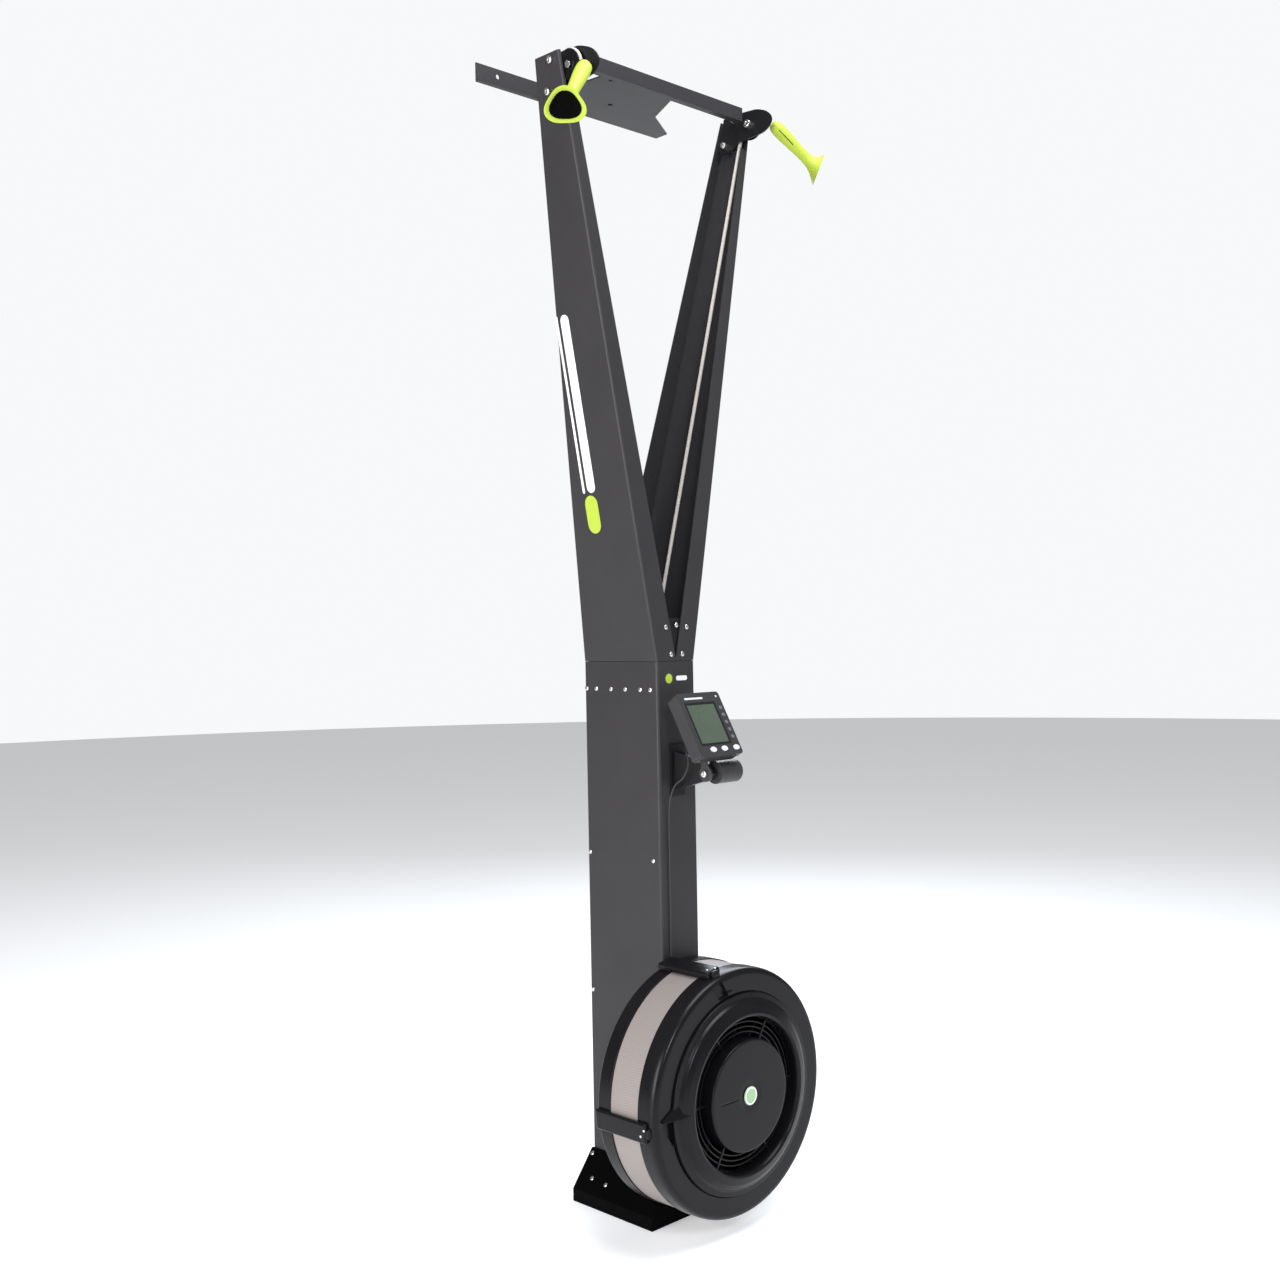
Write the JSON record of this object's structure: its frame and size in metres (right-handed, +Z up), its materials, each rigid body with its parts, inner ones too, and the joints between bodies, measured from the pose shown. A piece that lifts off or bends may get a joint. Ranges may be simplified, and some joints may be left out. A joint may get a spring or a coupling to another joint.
{
  "type": "ski ergometer",
  "caption": "Wall-braced ski-pull air trainer: column with two leaning channel arms, caged air flywheel, tilting display and cord-drawn lime pole grips.",
  "frame": {"origin": "centre of the foot's underside on the floor, below the middle of the column", "axes": "+Z up along the column, +Y towards the wall behind the machine, +X to the user's right when facing it"},
  "size_m": [0.7212, 0.3692, 2.142],
  "materials": {
    "graphite_paint": "dark graphite powder coat, satin",
    "black_plastic": "moulded black plastic, semi-gloss",
    "black_steel": "black painted steel",
    "bright_steel": "zinc plated steel",
    "lime_plastic": "lime green moulded plastic",
    "cream_cord": "braided cream cord",
    "black_rubber": "black rubber",
    "band_metal": "warm grey perforated steel",
    "grey_plastic": "dark grey moulded plastic",
    "screen_glass": "green-grey display window",
    "button_grey": "pale grey rubber keys",
    "badge_green": "plain light green hub cap"
  },
  "bodies": {
    "frame": {"column": "graphite_paint", "foot": "black_rubber", "right_arm": "graphite_paint", "left_arm": "graphite_paint", "joint_splice": "black_steel", "right_pulley_plate": "black_steel", "left_pulley_plate": "black_steel", "right_pulley_axle": "bright_steel", "left_pulley_axle": "bright_steel", "right_upper_arm_bolt": "bright_steel", "left_upper_arm_bolt": "bright_steel", "right_lower_arm_bolt": "bright_steel", "left_lower_arm_bolt": "bright_steel", "crossbar": "graphite_paint", "wall_bracket": "graphite_paint", "right_drive_cord": "cream_cord", "left_drive_cord": "cream_cord", "guide_bracket": "black_steel", "return_cord": "black_rubber", "return_idler_pin": "bright_steel", "front_bearing": "bright_steel", "rear_bearing": "bright_steel", "flywheel_mount": "black_steel", "rear_bearing_plate": "black_steel", "cage_back": "black_plastic", "cage_band": "band_metal", "cage_front": "black_plastic", "hub_badge": "badge_green", "monitor_bracket": "black_steel", "monitor_pivot_bolt": "bright_steel", "sensor_cable": "grey_plastic", "wheel_sensor": "black_plastic"},
    "flywheel_wheel": {"flywheel": "grey_plastic", "flywheel_shaft": "bright_steel"},
    "damper": {"damper_ring": "black_plastic"},
    "display": {"monitor_front": "grey_plastic", "monitor_back": "grey_plastic", "screen": "screen_glass"},
    "idler": {"return_idler": "black_plastic"},
    "right_grip": {"right_handle": "lime_plastic", "right_handle_plug": "black_rubber", "right_handle_cord": "cream_cord"},
    "right_sheave": {"right_top_pulley": "black_plastic"},
    "right_guide": {"right_guide_pulley": "black_plastic"},
    "right_drum": {"right_cord_drum": "grey_plastic"},
    "left_grip": {"left_handle": "lime_plastic", "left_handle_plug": "black_rubber", "left_handle_cord": "cream_cord"},
    "left_sheave": {"left_top_pulley": "black_plastic"},
    "left_guide": {"left_guide_pulley": "black_plastic"},
    "left_drum": {"left_cord_drum": "grey_plastic"},
    "side_button_1_key": {"side_button_1": "button_grey"},
    "side_button_2_key": {"side_button_2": "button_grey"},
    "side_button_3_key": {"side_button_3": "button_grey"},
    "side_button_4_key": {"side_button_4": "button_grey"},
    "side_button_5_key": {"side_button_5": "button_grey"},
    "menu_button_1_key": {"menu_button_1": "button_grey"},
    "menu_button_2_key": {"menu_button_2": "button_grey"},
    "menu_button_3_key": {"menu_button_3": "button_grey"}
  },
  "joints": [
    {"name": "right_handle_pull", "type": "slide", "parent": "frame", "child": "right_grip", "axis": [0, -0.22, -0.9755], "range_m": [0, 1.25], "stiffness_N_per_m": 12, "springref_m": -1},
    {"name": "right_sheave_spin", "type": "hinge", "parent": "frame", "child": "right_sheave", "pos_m": [0.24005, -0.105, 2.09318], "axis": [0.9821, 0, -0.1883], "continuous": true},
    {"name": "right_guide_spin", "type": "hinge", "parent": "frame", "child": "right_guide", "pos_m": [0.0241, -0.007, 0.965], "axis": [0, 1, 0], "continuous": true},
    {"name": "right_drum_spin", "type": "hinge", "parent": "frame", "child": "right_drum", "pos_m": [0, -0.019, 0.258], "axis": [0, 1, 0], "continuous": true},
    {"name": "left_handle_pull", "type": "slide", "parent": "frame", "child": "left_grip", "axis": [0, -0.22, -0.9755], "range_m": [0, 1.25], "stiffness_N_per_m": 12, "springref_m": -1},
    {"name": "left_sheave_spin", "type": "hinge", "parent": "frame", "child": "left_sheave", "pos_m": [-0.24005, -0.105, 2.09318], "axis": [0.9821, 0, 0.1883], "continuous": true},
    {"name": "left_guide_spin", "type": "hinge", "parent": "frame", "child": "left_guide", "pos_m": [-0.0241, -0.007, 0.965], "axis": [0, 1, 0], "continuous": true},
    {"name": "left_drum_spin", "type": "hinge", "parent": "frame", "child": "left_drum", "pos_m": [0, -0.057, 0.258], "axis": [0, 1, 0], "continuous": true},
    {"name": "flywheel_spin", "type": "hinge", "parent": "frame", "child": "flywheel_wheel", "pos_m": [0, -0.175, 0.258], "axis": [0, 1, 0], "continuous": true},
    {"name": "idler_spin", "type": "hinge", "parent": "frame", "child": "idler", "pos_m": [-0.027, -0.038, 0.88], "axis": [1, 0, 0], "continuous": true},
    {"name": "damper_turn", "type": "hinge", "parent": "frame", "child": "damper", "pos_m": [0, -0.25, 0.258], "axis": [0, 1, 0], "range_deg": [0, 75]},
    {"name": "display_tilt", "type": "hinge", "parent": "frame", "child": "display", "pos_m": [0, -0.188, 0.835], "axis": [1, 0, 0], "range_deg": [-10, 40]},
    {"name": "side_button_1_press", "type": "slide", "parent": "display", "child": "side_button_1_key", "axis": [0, 0.8721, -0.4894], "range_m": [0, 0.001], "stiffness_N_per_m": 400},
    {"name": "side_button_2_press", "type": "slide", "parent": "display", "child": "side_button_2_key", "axis": [0, 0.8721, -0.4894], "range_m": [0, 0.001], "stiffness_N_per_m": 400},
    {"name": "side_button_3_press", "type": "slide", "parent": "display", "child": "side_button_3_key", "axis": [0, 0.8721, -0.4894], "range_m": [0, 0.001], "stiffness_N_per_m": 400},
    {"name": "side_button_4_press", "type": "slide", "parent": "display", "child": "side_button_4_key", "axis": [0, 0.8721, -0.4894], "range_m": [0, 0.001], "stiffness_N_per_m": 400},
    {"name": "side_button_5_press", "type": "slide", "parent": "display", "child": "side_button_5_key", "axis": [0, 0.8721, -0.4894], "range_m": [0, 0.001], "stiffness_N_per_m": 400},
    {"name": "menu_button_1_press", "type": "slide", "parent": "display", "child": "menu_button_1_key", "axis": [0, 0.8721, -0.4894], "range_m": [0, 0.001], "stiffness_N_per_m": 400},
    {"name": "menu_button_2_press", "type": "slide", "parent": "display", "child": "menu_button_2_key", "axis": [0, 0.8721, -0.4894], "range_m": [0, 0.001], "stiffness_N_per_m": 400},
    {"name": "menu_button_3_press", "type": "slide", "parent": "display", "child": "menu_button_3_key", "axis": [0, 0.8721, -0.4894], "range_m": [0, 0.001], "stiffness_N_per_m": 400}
  ],
  "couplings": [
    {"joint": "right_sheave_spin", "follows": "right_handle_pull", "rad_per_m": 41.494},
    {"joint": "right_guide_spin", "follows": "right_handle_pull", "rad_per_m": 60.241},
    {"joint": "right_drum_spin", "follows": "right_handle_pull", "rad_per_m": -38.314},
    {"joint": "left_sheave_spin", "follows": "left_handle_pull", "rad_per_m": 41.494},
    {"joint": "left_guide_spin", "follows": "left_handle_pull", "rad_per_m": -60.241},
    {"joint": "left_drum_spin", "follows": "left_handle_pull", "rad_per_m": -38.314}
  ]
}
